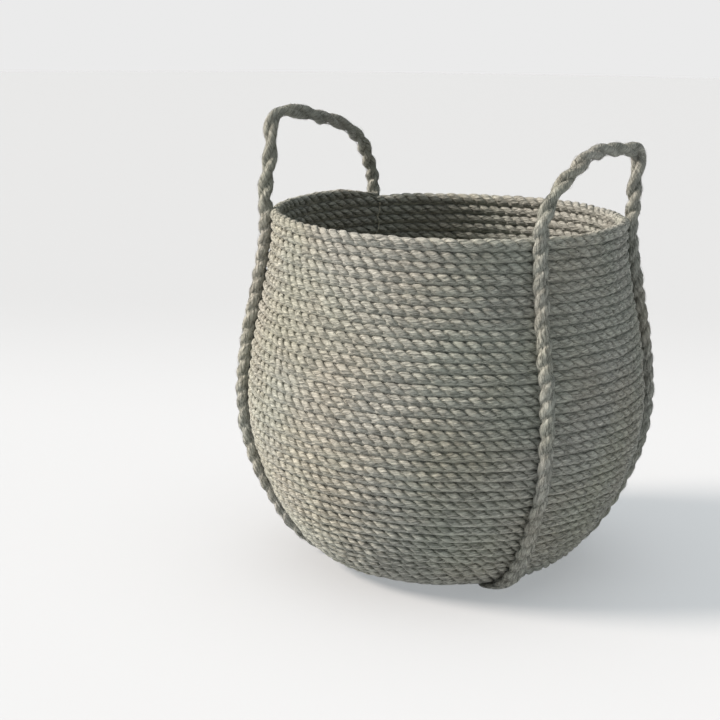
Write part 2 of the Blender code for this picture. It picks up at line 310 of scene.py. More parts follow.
def shape_yarns(rope, own_y, own_z, strand, distance):
    """Raises the yarns on each strand. Returns the new offsets and the place for the fibres."""
    radial = own_y * strand - rope["middle"]
    across = own_z * strand
    angle = np.arctan2(across / rope["wide"], radial / rope["thick"])
    yarn_angle = angle + YARN_TWIST * math.tau * distance / rope["lay"]
    ridge = np.abs(np.sin(yarn_angle * rope["yarns"] / 2)) ** 0.6
    swell = 1.0 + YARN_DEPTH * (ridge - 0.75)
    radius = (rope["thick"] + rope["wide"]) / 2
    left = np.where(strand == 0.0, own_y, radius * np.cos(yarn_angle))
    high = np.where(strand == 0.0, own_z, radius * np.sin(yarn_angle))
    offset_y = (radial * swell + rope["middle"]) * strand
    place = np.column_stack([distance + 7.0 * strand, left, high])
    return offset_y, across * swell * strand, place


def store(mesh, label, kind, field, values):
    attribute = mesh.attributes.new(label, kind, "POINT")
    attribute.data.foreach_set(field, values.astype(np.float32).ravel())


def follow(rope, route, distance, own_y, own_z, strand, uneven, seed, room):
    """Moves points of a straight rope to its route. Returns them, and the places for the fibres."""
    is_strand = strand != 0.0
    outer = rope["middle"] + rope["thick"]
    offset_y, offset_z, place = shape_yarns(rope, own_y, own_z, strand, distance)
    found = [np.interp(distance, route["length"], column) for column in route["columns"].T]
    found = np.column_stack(found)
    centre, face, side = found[:, 0:3], found[:, 3:6], found[:, 6:9]
    thick, wide, slim, turns = found[:, 9:13].T
    size = 1.0 + uneven * drift(distance, THICKNESS_DRIFT, seed)
    size = size * (1.0 + uneven * strand * drift(distance, STRAND_DRIFT, seed + 1))
    turn = math.tau * (turns + uneven * drift(distance, TWIST_DRIFT, seed + 2))
    local_y, local_z = offset_y * size, offset_z * size * slim
    core = 1.0 - CORE_THINNING * (1.0 - slim)
    twisted_face = local_y * np.cos(turn) - local_z * np.sin(turn)
    twisted_side = local_y * np.sin(turn) + local_z * np.cos(turn)
    offset_face = np.where(is_strand, twisted_face, own_y * core)
    offset_side = np.where(is_strand, twisted_side, own_z * core)
    if room:
        free = FREE_ROOM * room
        over = np.maximum(np.abs(offset_side) - free, 0.0) / (room - free)
        pressed = np.sign(offset_side) * (free + (room - free) * np.tanh(over))
        offset_side = np.where((over > 0) & is_strand, pressed, offset_side)
    shift = uneven * outer
    offset_face = offset_face * thick + shift * drift(distance, FACE_DRIFT, seed + 3)
    offset_side = offset_side * wide + shift * drift(distance, SIDE_DRIFT, seed + 4)
    points = centre + face * offset_face[:, None] + side * offset_side[:, None]
    points[:, 2] = np.maximum(points[:, 2], FLOOR_CLEARANCE)
    return points, place


def bend_rope(name, rope, route, start, end, uneven, seed, room=None):
    """A piece of rope on its route, from one length to another. uneven scales its wandering, and
    room is how far the rope may reach sideways before its neighbours press it flat."""
    mesh = cut_length(rope, end - start, name)
    along, own_y, own_z, strand = read_straight(mesh, rope)
    distance = along + start
    # How deep a point lies between the strands; the material paints shade into the colour from it.
    depth = 1.0 - np.hypot(own_y, own_z) / (rope["middle"] + rope["thick"])
    points, place = follow(rope, route, distance, own_y, own_z, strand, uneven, seed, room)
    mesh.vertices.foreach_set("co", points.astype(np.float32).ravel())
    return finished_mesh(mesh, name, place, depth)


def finished_mesh(mesh, name, place, depth):
    store(mesh, "fibre", "FLOAT_VECTOR", "vector", place)
    store(mesh, "depth", "FLOAT", "value", depth)
    mesh.update()
    piece = bpy.data.objects.new(name, mesh)
    bpy.context.scene.collection.objects.link(piece)
    return piece


# %% [markdown]
# ## Loose fibres
# Rope of this kind is hairy. A loose fibre is a thin three-sided tube that starts inside a strand,
# runs along it and lifts off a little at its free end. Every second one doesn't follow its strand
# but lies straight along the rope, across the furrows, as brushed-up fibres do. The fibres are
# placed on the straight rope and bent with it, so they stay on its surface everywhere.

# %% Grow loose fibres on a rope
FIBRE_ROOT = 0.0003  # how deep it starts in its strand
FIBRE_ARCH = 0.0005  # how high its middle arches
FIBRE_TAPER = 0.7


def grow_fibres(
    name, rope, route, start, end, spacing, reach, lift, thickness, uneven, seed, room=None
):
    chance = np.random.default_rng(seed + 100)
    count = int((end - start) / spacing)
    share = np.linspace(0.0, 1.0, 4)[None, :, None]
    spin = math.tau * np.arange(3)[None, None, :] / 3

    def pick(low, high):
        return chance.uniform(low, high, count)[:, None, None]

    strand = np.where(pick(0, 1) < 0.5, -1.0, 1.0)
    run = pick(0.5, 1.0) * reach * np.where(pick(0, 1) < 0.5, -1.0, 1.0)
    first = start + pick(0.0, 1.0) * (end - start - 2 * reach) + reach
    distance = first + run * share
    height = -FIBRE_ROOT + lift * pick(0.0, 1.0) ** 2.5 * share**1.6
    height = height + FIBRE_ARCH * np.sin(math.pi * share)
    radius = thickness * (1.0 - FIBRE_TAPER * share)
    angle = pick(-1.9, 1.9) + pick(-0.9, 0.9) * share
    around_y = rope["middle"] + (rope["thick"] + height) * np.cos(angle)
    around_z = (rope["wide"] + height) * np.sin(angle)
    unwound = pick(-math.pi, math.pi) - math.tau * run * share / rope["lay"]
    hull = rope["middle"] + rope["thick"] + height
    is_straight = pick(0, 1) < 0.5
    own_y = np.where(is_straight, hull * np.cos(unwound), around_y) + radius * np.cos(spin)
    across = (1.08 * rope["wide"] + height) * np.sin(unwound)
    own_z = np.where(is_straight, across, around_z) + radius * np.sin(spin)
    parts = (distance, own_y * strand, own_z * strand, strand)
    flat = [np.broadcast_to(part, (count, 4, 3)).ravel() for part in parts]
    points, place = follow(rope, route, *flat, uneven, seed, room)

    corner = np.arange(3)
    ring = np.arange(3)[:, None] * 3
    turned = (corner + 1) % 3
    quads = np.stack([ring + corner, ring + turned, ring + turned + 3, ring + corner + 3], axis=-1)
    quads = quads.reshape(1, 9, 4) + np.arange(count)[:, None, None] * 12
    ends = np.array([[2, 1, 0], [9, 10, 11]])[None] + np.arange(count)[:, None, None] * 12
    mesh = bpy.data.meshes.new(name)
    faces = quads.reshape(-1, 4).tolist() + ends.reshape(-1, 3).tolist()
    mesh.from_pydata(points.tolist(), [], faces)
    print(f"{name}: {count} loose fibres, {len(faces)} faces")
    return finished_mesh(mesh, name, place, np.zeros(len(points)))


# %% [markdown]
# ## The finish of the rope
# The rope is spun from dry, uncoloured grass fibre: a greyed straw colour with paler and darker
# fibres, matt, with painted shade darker in the furrows between the strands. One node group makes
# the fibres. It reads the place that was stored while the rope was straight, stretches a noise
# along it until the noise turns into thin streaks, and adds the round yarns. Its results feed
# colour, roughness and bump. A second group makes slow patches of warmer and greener fibre, read
# from object space.

# %% Small helpers for node trees
def new_group(name, inputs, outputs):
    group = bpy.data.node_groups.new(name, "ShaderNodeTree")
    for label, kind, value in inputs:
        socket = group.interface.new_socket(label, in_out="INPUT", socket_type=kind)
        if value is not None:
            socket.default_value = value
    for label, kind in outputs:
        group.interface.new_socket(label, in_out="OUTPUT", socket_type=kind)
    return group


def put(tree, kind, settings=None, **inputs):
    """Adds a node. An input is given a value, or another node's output to link from."""
    node = tree.nodes.new(kind)
    for label, value in (settings or {}).items():
        setattr(node, label, value)
    for label, value in inputs.items():
        key = int(label[1:]) if label[0] == "i" and label[1:].isdigit() else label.replace("_", " ")
        socket = node.inputs[key]
        if isinstance(value, bpy.types.NodeSocket):
            tree.links.new(value, socket)
        else:
            socket.default_value = value
    return node


def maths(tree, operation, first, second=0.5):
    return put(tree, "ShaderNodeMath", {"operation": operation}, i0=first, i1=second).outputs[0]


def mix_colours(tree, share, first, second, blend="MIX"):
    node = put(tree, "ShaderNodeMix", {"data_type": "RGBA", "blend_type": blend})
    for socket, value in ((node.inputs[0], share), (node.inputs[6], first), (node.inputs[7], second)):
        if isinstance(value, bpy.types.NodeSocket):
            tree.links.new(value, socket)
        else:
            socket.default_value = value
    return node.outputs[2]


# %% The group that makes fibres and yarns
def fibre_group():
    group = new_group(
        "plant_fibres",
        [
            ("Place", "NodeSocketVector", None),
            ("Fineness", "NodeSocketFloat", 1.0),
            ("Yarns", "NodeSocketFloat", 5.0),
        ],
        [
            ("Streaks", "NodeSocketFloat"),
            ("Hairs", "NodeSocketFloat"),
            ("Height", "NodeSocketFloat"),
        ],
    )
    tree = group
    into = tree.nodes.new("NodeGroupInput")
    out = tree.nodes.new("NodeGroupOutput")
    parts = put(tree, "ShaderNodeSeparateXYZ", Vector=into.outputs["Place"])
    fineness = into.outputs["Fineness"]

    def stretched(along, across):
        """The place, scaled much less along the strand than across it."""
        far = maths(tree, "MULTIPLY", parts.outputs["X"], maths(tree, "MULTIPLY", fineness, along))
        wide = maths(tree, "MULTIPLY", fineness, across)
        left = maths(tree, "MULTIPLY", parts.outputs["Y"], wide)
        high = maths(tree, "MULTIPLY", parts.outputs["Z"], wide)
        return put(tree, "ShaderNodeCombineXYZ", X=far, Y=left, Z=high).outputs[0]

    broad = put(tree, "ShaderNodeTexNoise", Vector=stretched(95, 520), Scale=1.0, Detail=4.0)
    fine = put(tree, "ShaderNodeTexNoise", Vector=stretched(130, 1400), Scale=1.0, Detail=2.0)
    lumps = put(tree, "ShaderNodeTexNoise", Vector=stretched(170, 300), Scale=1.0, Detail=2.0)
    angle = maths(tree, "ARCTAN2", parts.outputs["Z"], parts.outputs["Y"])
    half_yarns = maths(tree, "MULTIPLY", into.outputs["Yarns"], 0.5)
    wave = maths(tree, "ABSOLUTE", maths(tree, "SINE", maths(tree, "MULTIPLY", angle, half_yarns)))
    yarn = maths(tree, "POWER", wave, 0.6)
    height = maths(tree, "MULTIPLY", broad.outputs["Fac"], 0.9)
    height = maths(tree, "ADD", height, maths(tree, "MULTIPLY", lumps.outputs["Fac"], 0.9))
    height = maths(tree, "ADD", height, maths(tree, "MULTIPLY", fine.outputs["Fac"], 0.35))
    height = maths(tree, "ADD", height, maths(tree, "MULTIPLY", yarn, 0.35))
    tree.links.new(broad.outputs["Fac"], out.inputs["Streaks"])
    tree.links.new(fine.outputs["Fac"], out.inputs["Hairs"])
    tree.links.new(height, out.inputs["Height"])
    return group


# %% The group that makes slow patches of tone
def patch_group():
    group = new_group(
        "tone_patches",
        [("Scale", "NodeSocketFloat", 9.0)],
        [("Warm", "NodeSocketFloat"), ("Green", "NodeSocketFloat")],
    )
    tree = group
    into = tree.nodes.new("NodeGroupInput")
    out = tree.nodes.new("NodeGroupOutput")
    place = put(tree, "ShaderNodeTexCoord").outputs["Object"]
    scale = into.outputs["Scale"]
    warm = put(tree, "ShaderNodeTexNoise", Vector=place, Scale=scale, Detail=4.0)
    moved = put(tree, "ShaderNodeMapping", Vector=place, Location=(3.1, 1.7, 5.3)).outputs[0]
    green = put(tree, "ShaderNodeTexNoise", Vector=moved, Scale=scale, Detail=5.0)
    for noise, label in ((warm, "Warm"), (green, "Green")):
        spread = put(tree, "ShaderNodeMapRange", Value=noise.outputs["Fac"])
        spread.inputs["From Min"].default_value = 0.42
        spread.inputs["From Max"].default_value = 0.66
        tree.links.new(spread.outputs[0], out.inputs[label])
    return group


# %% The rope's material
PLANT_FIBRES = fibre_group()
TONE_PATCHES = patch_group()


def rope_finish(name, dark, middle, pale, fineness, yarns, bump_depth, furrow):
    """A matt plant-fibre rope. furrow is how dark the painted shade between the strands is."""
    material = bpy.data.materials.new(name)
    material.use_nodes = True
    tree = material.node_tree
    shader = tree.nodes["Principled BSDF"]
    place = put(tree, "ShaderNodeAttribute", {"attribute_name": "fibre"}).outputs["Vector"]
    depth = put(tree, "ShaderNodeAttribute", {"attribute_name": "depth"}).outputs["Fac"]
    fibres = put(tree, "ShaderNodeGroup", {"node_tree": PLANT_FIBRES}, Place=place)
    fibres.inputs["Fineness"].default_value = fineness
    fibres.inputs["Yarns"].default_value = yarns
    patches = put(tree, "ShaderNodeGroup", {"node_tree": TONE_PATCHES})
    streaks = put(tree, "ShaderNodeMapRange", Value=fibres.outputs["Streaks"])
    streaks.inputs["From Min"].default_value = 0.38
    streaks.inputs["From Max"].default_value = 0.62
    colour = mix_colours(tree, streaks.outputs[0], (*dark, 1.0), (*middle, 1.0))
    hairs = put(tree, "ShaderNodeMapRange", Value=fibres.outputs["Hairs"])
    hairs.inputs["From Min"].default_value = 0.50
    hairs.inputs["From Max"].default_value = 0.72
    colour = mix_colours(tree, hairs.outputs[0], colour, (*pale, 1.0))
    warm = maths(tree, "MULTIPLY", patches.outputs["Warm"], 0.30)
    colour = mix_colours(tree, warm, colour, (1.05, 0.90, 0.72, 1.0), "MULTIPLY")
    green = maths(tree, "MULTIPLY", patches.outputs["Green"], 0.30)
    colour = mix_colours(tree, green, colour, (0.86, 1.0, 0.90, 1.0), "MULTIPLY")
    # Painted shade: the colour gets darker where a point lies deep between the strands.
    furrow_shade_mask = put(tree, "ShaderNodeMapRange", Value=depth)
    furrow_shade_mask.inputs["From Min"].default_value = 0.10
    furrow_shade_mask.inputs["From Max"].default_value = 0.50
    painted_furrow_shade = maths(tree, "MULTIPLY", furrow_shade_mask.outputs[0], furrow)
    colour = mix_colours(tree, painted_furrow_shade, colour, (0.34, 0.33, 0.28, 1.0), "MULTIPLY")
    tree.links.new(colour, shader.inputs["Base Color"])
    rough = put(tree, "ShaderNodeMapRange", Value=fibres.outputs["Streaks"])
    rough.inputs["To Min"].default_value = 0.92
    rough.inputs["To Max"].default_value = 0.66
    tree.links.new(rough.outputs[0], shader.inputs["Roughness"])
    bump = put(tree, "ShaderNodeBump", Height=fibres.outputs["Height"])
    bump.inputs["Strength"].default_value = 1.0
    bump.inputs["Distance"].default_value = bump_depth
    tree.links.new(bump.outputs[0], shader.inputs["Normal"])
    shader.inputs["Specular IOR Level"].default_value = 0.28
    shader.inputs["Sheen Weight"].default_value = 0.12
    shader.inputs["Sheen Roughness"].default_value = 0.5
    return material


COIL_FINISH = rope_finish(
    "coil_rope_fibre",
    dark=(0.150, 0.153, 0.137),
    middle=(0.365, 0.372, 0.333),
    pale=(0.60, 0.60, 0.54),
    fineness=1.0,
    yarns=6.0,
    bump_depth=0.0014,
    furrow=0.3,
)
SLING_FINISH = rope_finish(
    "sling_rope_fibre",
    dark=(0.165, 0.168, 0.150),
    middle=(0.375, 0.382, 0.345),
    pale=(0.60, 0.60, 0.54),
    fineness=0.9,
    yarns=7.0,
    bump_depth=0.0016,
    furrow=0.25,
)
THREAD_FINISH = rope_finish(
    "waxed_thread",
    dark=(0.40, 0.38, 0.31),
    middle=(0.60, 0.57, 0.48),
    pale=(0.72, 0.70, 0.62),
    fineness=3.0,
    yarns=3.0,
    bump_depth=0.0002,
    furrow=0.5,
)
print("finishes:", [finish.name for finish in (COIL_FINISH, SLING_FINISH, THREAD_FINISH)])

# %% [markdown]
# ## The coil
# The route of the coil is worked out by its rule: one row further along the outline for every full
# turn. It starts at the middle of the base and ends at the rim, behind the left handle's back
# leg. Each turn of the wall is a piece of its own, cut where that leg hides the cut, so that the
# pieces match the solid model's turns one for one.

# %% Lay the coil's rope and work out its route
COIL_LAY = 0.028
COIL_SECTION = {
    "lay": COIL_LAY,
    "steps": 13,
    "sides": 12,
    "thick": 0.0030,
    "wide": 0.0041,
    "middle": 0.0025,
    "filler": (0.0029, 0.0063, -0.0018),
    "yarns": 5,
}
ROPE_END_TAPER = 0.060  # the last of the rope, which is thinned and laid down on the row below
ROPE_END_THINNING = 0.60
ROPE_END_DROP = 0.0036
RIM_GROWTH = 0.15  # the last row is a little thicker and stands a little higher
RIM_LIFT = 0.0011
RIM_TURNS = 1.15
RIM_BLEND = 0.15


def coil_route():
    profile_distance = np.linspace(COIL_START * ROW_PITCH, RIM_END, 40000)
    radius, height, outwards, upwards = profile_at(profile_distance)
    turns_to_go = (RIM_END - profile_distance) / ROW_PITCH
    to_end = turns_to_go * math.tau * RIM_ROPE_RADIUS
    taper = ease(1.0 - to_end / ROPE_END_TAPER)
    azimuth = math.radians(CUT_AZIMUTH) + math.tau * turns_to_go
    rim = ease((RIM_TURNS - turns_to_go) / RIM_BLEND)
    centre = around(azimuth, radius, height + RIM_LIFT * rim - ROPE_END_DROP * taper)
    face = around(azimuth, upwards, -outwards)
    size = (1.0 + RIM_GROWTH * rim) * (1.0 - ROPE_END_THINNING * taper)
    return profile_distance, make_route(centre, face, COIL_LAY, size, size)


COIL_PROFILE_DISTANCE, COIL_ROUTE = coil_route()


def rope_length_at(profile_distance):
    return np.interp(profile_distance, COIL_PROFILE_DISTANCE, COIL_ROUTE["length"])


EDGES = np.linspace(BASE_FLAT_RADIUS, RIM_END, WALL_PIECES + 1)
COIL_LENGTHS = [0.0, *rope_length_at(EDGES)]
LONGEST_TURN = max(np.diff(COIL_LENGTHS[1:])) + COIL_LAY
BASE_ROPE = lay_rope("straight base rope", COIL_LENGTHS[1] + COIL_LAY, **COIL_SECTION)
WALL_ROPE = lay_rope("straight wall rope", LONGEST_TURN, **COIL_SECTION)
print(f"the coil takes {COIL_LENGTHS[-1]:.2f} m of rope, {COIL_LENGTHS[1]:.2f} m in the base")


# %% Wind the base and the wall
def finish_piece(piece, finish, slot, *nodes):
    piece.data.materials.append(finish)
    if nodes:
        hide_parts(*nodes)


COIL_UNEVENNESS = {"uneven": 1.0, "seed": 11, "room": 0.0061}


def wind_coil():
    names = ["base_coil"] + [f"wall_turn_{number:02d}" for number in range(1, WALL_PIECES + 1)]
    for name, start, end in zip(names, COIL_LENGTHS, COIL_LENGTHS[1:]):
        rope = BASE_ROPE if name == "base_coil" else WALL_ROPE
        piece = bend_rope(name + "_rope", rope, COIL_ROUTE, start, end, **COIL_UNEVENNESS)
        finish_piece(piece, COIL_FINISH, "coil_rope", name)
        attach(piece, "basket")
    print(f"{len(names)} pieces of coiled rope")
    start, end = COIL_LENGTHS[1], COIL_LENGTHS[-1] - ROPE_END_TAPER
    fibres = grow_fibres(
        "loose_fibres_wall",
        WALL_ROPE,
        COIL_ROUTE,
        start,
        end,
        spacing=0.0065,
        reach=0.014,
        lift=0.0014,
        thickness=0.00018,
        **COIL_UNEVENNESS,
    )
    finish_piece(fibres, COIL_FINISH, "coil_rope")
    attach(fibres, "basket")


wind_coil()

# %% [markdown]
# ## The sling rope with its two handles
# This is one rope too. It starts and ends in a splice under the base, runs up a leg, over a handle,
# down the next leg, under the base and round again. Its route is joined from those stretches, and
# then smoothed over a few millimetres so that it has no kinks. Near the floor the weight of the
# basket has pressed the rope flat. Above the rim a leg, the loop and the next leg are one piece.

# %% Stretches of the sling's route
RIGHT_LOOP = [
    (0.03, 0.012),
    (0.08, 0.023),
    (0.16, 0.035),
    (0.29, 0.046),
    (0.42, 0.058),
    (0.56, 0.0635),
    (0.74, 0.062),
    (0.90, 0.0585),
    (0.995, 0.0570),
    (1.024, 0.0455),
    (1.010, 0.029),
    (1.000, 0.013),
]
LEFT_LOOP = [
    (0.02, 0.012),
    (0.06, 0.028),
    (0.115, 0.045),
    (0.23, 0.064),
    (0.36, 0.0745),
    (0.50, 0.082),
    (0.67, 0.0905),
    (0.81, 0.0935),
    (0.905, 0.090),
    (0.945, 0.077),
    (0.945, 0.058),
    (0.965, 0.030),
]
RUN_BOW = 0.85
LEG_SINK = 0.0024  # how deep the leg is pulled into the wall by its stitches


def leg_stretch(azimuth_degrees):
    """Up the outside of the wall, from the edge of the base to the hinge line."""
    azimuth = math.radians(azimuth_degrees)
    distance = np.linspace(BASE_FLAT_RADIUS, RIM_END, 300)
    radius, height, outwards, upwards = profile_at(distance)
    round_share = ease((distance - BASE_FLAT_RADIUS) / SLING_FLATTEN_LENGTH)
    half = SLING_FLAT_HALF + (SLING_ROPE_RADIUS - SLING_FLAT_HALF) * round_share
    wide = SLING_FLAT_HALF_WIDTH + (SLING_ROPE_RADIUS - SLING_FLAT_HALF_WIDTH) * round_share
    off_wall = COIL_ROPE_RADIUS + SLING_GAP + half - LEG_SINK * round_share
    centre = around(azimuth, radius + upwards * off_wall, height - outwards * off_wall)
    face = around(azimuth, upwards, -outwards)
    top_height = np.linspace(RIM_ROPE_Z, HINGE_Z, 12)[1:]
    top_radius = LEG_TOP_RADIUS - LEG_SINK * (1 - ease(np.linspace(0, 1, 12)[1:]))
    top = around(azimuth, top_radius, top_height)
    top_face = np.repeat(around(azimuth, 1.0, 0.0)[None, :], len(top), axis=0)
    flatness = np.column_stack([half, wide]) / SLING_ROPE_RADIUS
    flatness = np.concatenate([flatness, np.ones((len(top), 2))])
    return np.concatenate([centre, top]), np.concatenate([face, top_face]), flatness


def smooth_line(corners, per_span=12):
    """Points on a smooth curve through the corners (Catmull-Rom)."""
    corners = np.asarray(corners)
    padded = np.concatenate([corners[:1], corners, corners[-1:]])
    line = []
    for before, start, end, after in zip(padded, padded[1:], padded[2:], padded[3:]):
        start_reach = start + (end - before) / 6
        end_reach = end - (after - start) / 6
        shares = np.arange(per_span) / per_span
        line.append(bezier(start, start_reach, end_reach, end, shares))
    return np.concatenate([*line, corners[-1:]])


def loop_stretch(first_degrees, second_degrees, outline):
    """A handle, from its first leg's top over to its second leg's top."""
    first = around(math.radians(first_degrees), LEG_TOP_RADIUS, HINGE_Z)
    second = around(math.radians(second_degrees), LEG_TOP_RADIUS, HINGE_Z)
    across = second - first
    corners = [first] + [first + across * share + UP * height for share, height in outline]
    centre = smooth_line([*corners, second])
    normal = unit(np.cross(across, UP))
    return centre, np.repeat(normal[None, :], len(centre), axis=0), np.ones((len(centre), 2))


def run_stretch(first_degrees, second_degrees, start, end):
    """Flat under the base, from one leg's foot towards another's."""
    first, second = math.radians(first_degrees), math.radians(second_degrees)
    foot = around(first, BASE_FLAT_RADIUS, SLING_FLAT_HALF)
    far_foot = around(second, BASE_FLAT_RADIUS, SLING_FLAT_HALF)
    reach = np.linalg.norm(far_foot - foot) * RUN_BOW / 3
    inward = foot - around(first, reach, 0.0)
    outward = far_foot - around(second, reach, 0.0)
    centre = bezier(foot, inward, outward, far_foot, np.linspace(start, end, 120))
    flatness = np.array([SLING_FLAT_HALF, SLING_FLAT_HALF_WIDTH]) / SLING_ROPE_RADIUS
    return centre, np.repeat(-UP[None, :], 120, axis=0), np.repeat(flatness[None, :], 120, axis=0)


def turned_round(stretch):
    return tuple(part[::-1] for part in stretch)


# The length of one turn of the twist. It is looser where the rope stands free as a handle.
SLING_LAY = 0.038
RIGHT_LOOP_LAYS = [0.045, 0.080, 0.090, 0.080, 0.050]
LEFT_LOOP_LAYS = [0.050, 0.085, 0.090, 0.055, 0.030]
LOOP_SLIMNESS = 0.84
SPLICE_HALF = 0.019  # the binding presses this much of each rope end even flatter
SPLICE_BLEND = 0.012
SPLICE_PINCH = [0.42, 0.16]
SAMPLE = 0.001  # the distance between two places on the joined route


# %% Join the stretches into one smooth route
def smoothed(values, spread):
    """A running average, with the ends held, over samples that lie a millimetre apart."""
    reach = 3 * spread
    weights = np.exp(-0.5 * (np.arange(-reach, reach + 1) / spread) ** 2)
    weights = weights / weights.sum()
    padded = np.pad(values, ((reach, reach), (0, 0)), mode="edge")
    return np.column_stack([np.convolve(column, weights, mode="valid") for column in padded.T])


def sling_route():
    azimuths = LEG_AZIMUTHS
    back = (azimuths["right_back"], azimuths["left_back"])
    front = (azimuths["right_front"], azimuths["left_front"] - 360.0)
    right_loop = loop_stretch(azimuths["right_front"], azimuths["right_back"], RIGHT_LOOP)
    left_loop = loop_stretch(azimuths["left_back"], azimuths["left_front"], LEFT_LOOP)
    stretches = {
        "run_back_right": turned_round(run_stretch(*back, 0.0, 0.5)),
        "leg_right_back": leg_stretch(azimuths["right_back"]),
        "loop_right": turned_round(right_loop),
        "leg_right_front": turned_round(leg_stretch(azimuths["right_front"])),
        "run_front": run_stretch(*front, 0.0, 1.0),
        "leg_left_front": leg_stretch(azimuths["left_front"]),
        "loop_left": turned_round(left_loop),
        "leg_left_back": turned_round(leg_stretch(azimuths["left_back"])),
        "run_back_left": turned_round(run_stretch(*back, 0.5, 1.0)),
    }
    loop_lays = {"loop_right": RIGHT_LOOP_LAYS, "loop_left": LEFT_LOOP_LAYS}
    rows = []
    for number, (name, (centre, face, flatness)) in enumerate(stretches.items()):
        lays = loop_lays.get(name, [SLING_LAY])
        share = np.linspace(0.0, 1.0, len(centre))
        lay = np.interp(share, np.linspace(0.0, 1.0, len(lays)), lays)
        freedom = np.full(len(centre), float(name in loop_lays))
        owner = np.full(len(centre), number)
        rows.append(np.column_stack([centre, face, flatness, lay, freedom, owner]))
    table = np.concatenate(rows)
    steps = np.linalg.norm(np.diff(table[:, 0:3], axis=0), axis=1)
    table = table[np.concatenate([[True], steps > 1e-7])]
    length = np.cumsum(np.linalg.norm(np.diff(table[:, 0:3], axis=0), axis=1))
    length = np.concatenate([[0.0], length])
    even = np.arange(0.0, length[-1], SAMPLE)
    table = np.column_stack([np.interp(even, length, column) for column in table.T])
    centre = smoothed(table[:, 0:3], 3)
    face = smoothed(table[:, 3:6], 14)
    lay, freedom = smoothed(table[:, 8:10], 12).T
    from_splice = np.minimum(even, even[-1] - even)
    in_splice = 1.0 - ease((from_splice - SPLICE_HALF) / SPLICE_BLEND)
    flatness = smoothed(table[:, 6:8], 5) * (1.0 - in_splice[:, None] * SPLICE_PINCH)
    slim = 1.0 - (1.0 - LOOP_SLIMNESS) * freedom
    route = make_route(centre, face, lay, flatness[:, 0], flatness[:, 1], slim)
    limits = [0.0]
    for number in range(1, len(stretches)):
        limits.append(route["length"][np.searchsorted(table[:, 10], number - 0.5)])
    limits.append(route["length"][-1])
    return route, dict(zip(stretches, zip(limits, limits[1:])))


SLING_ROUTE, SLING_PARTS = sling_route()
for part, (start, end) in SLING_PARTS.items():
    print(f"{part}: {start:.3f} to {end:.3f} m")

# %% Lay the sling's rope and bend it into its five pieces
LONGEST_SLING_PIECE = 1.5
SLING_ROPE = lay_rope(
    "straight sling rope",
    LONGEST_SLING_PIECE,
    lay=SLING_LAY,
    steps=15,
    sides=26,
    thick=0.0045,
    wide=0.0057,
    middle=0.0035,
    filler=(0.0063, 0.0062, 0.0),
    yarns=7,
)
SLING_UNEVENNESS = {"uneven": 0.9, "seed": 51}


def sling_piece(name, first_part, last_part):
    start, end = SLING_PARTS[first_part][0], SLING_PARTS[last_part][1]
    return bend_rope(name, SLING_ROPE, SLING_ROUTE, start, end, **SLING_UNEVENNESS)


def hang_handle(name, side, first_part, last_part):
    """Leg, loop and leg in one piece, above the rim."""
    rope = sling_piece(name, first_part, last_part)
    legs = [f"sling_leg_{side}_front", f"sling_leg_{side}_back"]
    finish_piece(rope, SLING_FINISH, "sling_rope", *legs, f"handle_loop_{side}")
    fibres = grow_fibres(
        f"loose_fibres_{side}",
        SLING_ROPE,
        SLING_ROUTE,
        SLING_PARTS[first_part][0],
        SLING_PARTS[last_part][1],
        spacing=0.0003,
        reach=0.020,
        lift=0.0026,
        thickness=0.00024,
        **SLING_UNEVENNESS,
    )
    finish_piece(fibres, SLING_FINISH, "sling_rope")
    for piece in (rope, fibres):
        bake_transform(piece)


hang_handle("sling_rope_right", "right", "leg_right_back", "leg_right_front")
hang_handle("sling_rope_left", "left", "leg_left_front", "leg_left_back")
for part in ("run_front", "run_back_right", "run_back_left"):
    run = sling_piece("sling_" + part + "_rope", part, part)
    finish_piece(run, SLING_FINISH, "sling_rope", "sling_" + part)
    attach(run, "basket")

# %% [markdown]
# ## Threads
# Each leg is sewn to the wall with one thread. From the inside it shows as a line of stitches: it
# lies over a row, dips into the furrow, and comes out again a little to the side. Under the base the
# two ends of the sling rope lie against each other and are wound round with the same thread. Both
# are again a rope laid straight and bent along a route, only much finer.

# %% Sew the legs on and bind the splice
THREAD_ROPE = lay_rope(
    "straight thread",
    2.6,
    lay=0.0042,
    steps=6,
    sides=6,
    thick=0.0005,
    wide=0.0006,
    middle=0.0004,
    yarns=3,
)
SPLICE_LENGTH = 0.050
WINDING_PITCH = 0.0017
WINDING_HALF_WIDTH = 0.0118
WINDING_HALF_HEIGHT = 0.0023
STITCH_FOOT = 0.030  # where the stitching starts, past the edge of the base
STITCH_TOP = 0.012  # and where it ends, below the rim
STITCH_INSET = 0.0040  # from the rope's middle to a thread that lies in a furrow
STITCH_RISE = 0.0024
STITCH_ASIDE = 0.0014
STITCH_DRIFT = (0.0004, 0.008)


def stitch_route(azimuth_degrees):
    """Up the inside of the wall, over one row after another."""
    distance = np.arange(BASE_FLAT_RADIUS + STITCH_FOOT, RIM_END - STITCH_TOP, 0.0003)
    radius, height, outwards, upwards = profile_at(distance)
    rows = (RIM_END - distance) / ROW_PITCH - (azimuth_degrees - CUT_AZIMUTH) / 360.0
    on_row = np.cos(math.pi * rows) ** 2
    inset = STITCH_INSET + STITCH_RISE * on_row**0.7
    aside = STITCH_ASIDE * np.sin(math.pi * rows) + drift(distance, STITCH_DRIFT, 77)
    azimuth = math.radians(azimuth_degrees) + aside / radius
    centre = around(azimuth, radius - upwards * inset, height + outwards * inset)
    return make_route(centre, around(azimuth, -upwards, outwards), THREAD_ROPE["lay"])


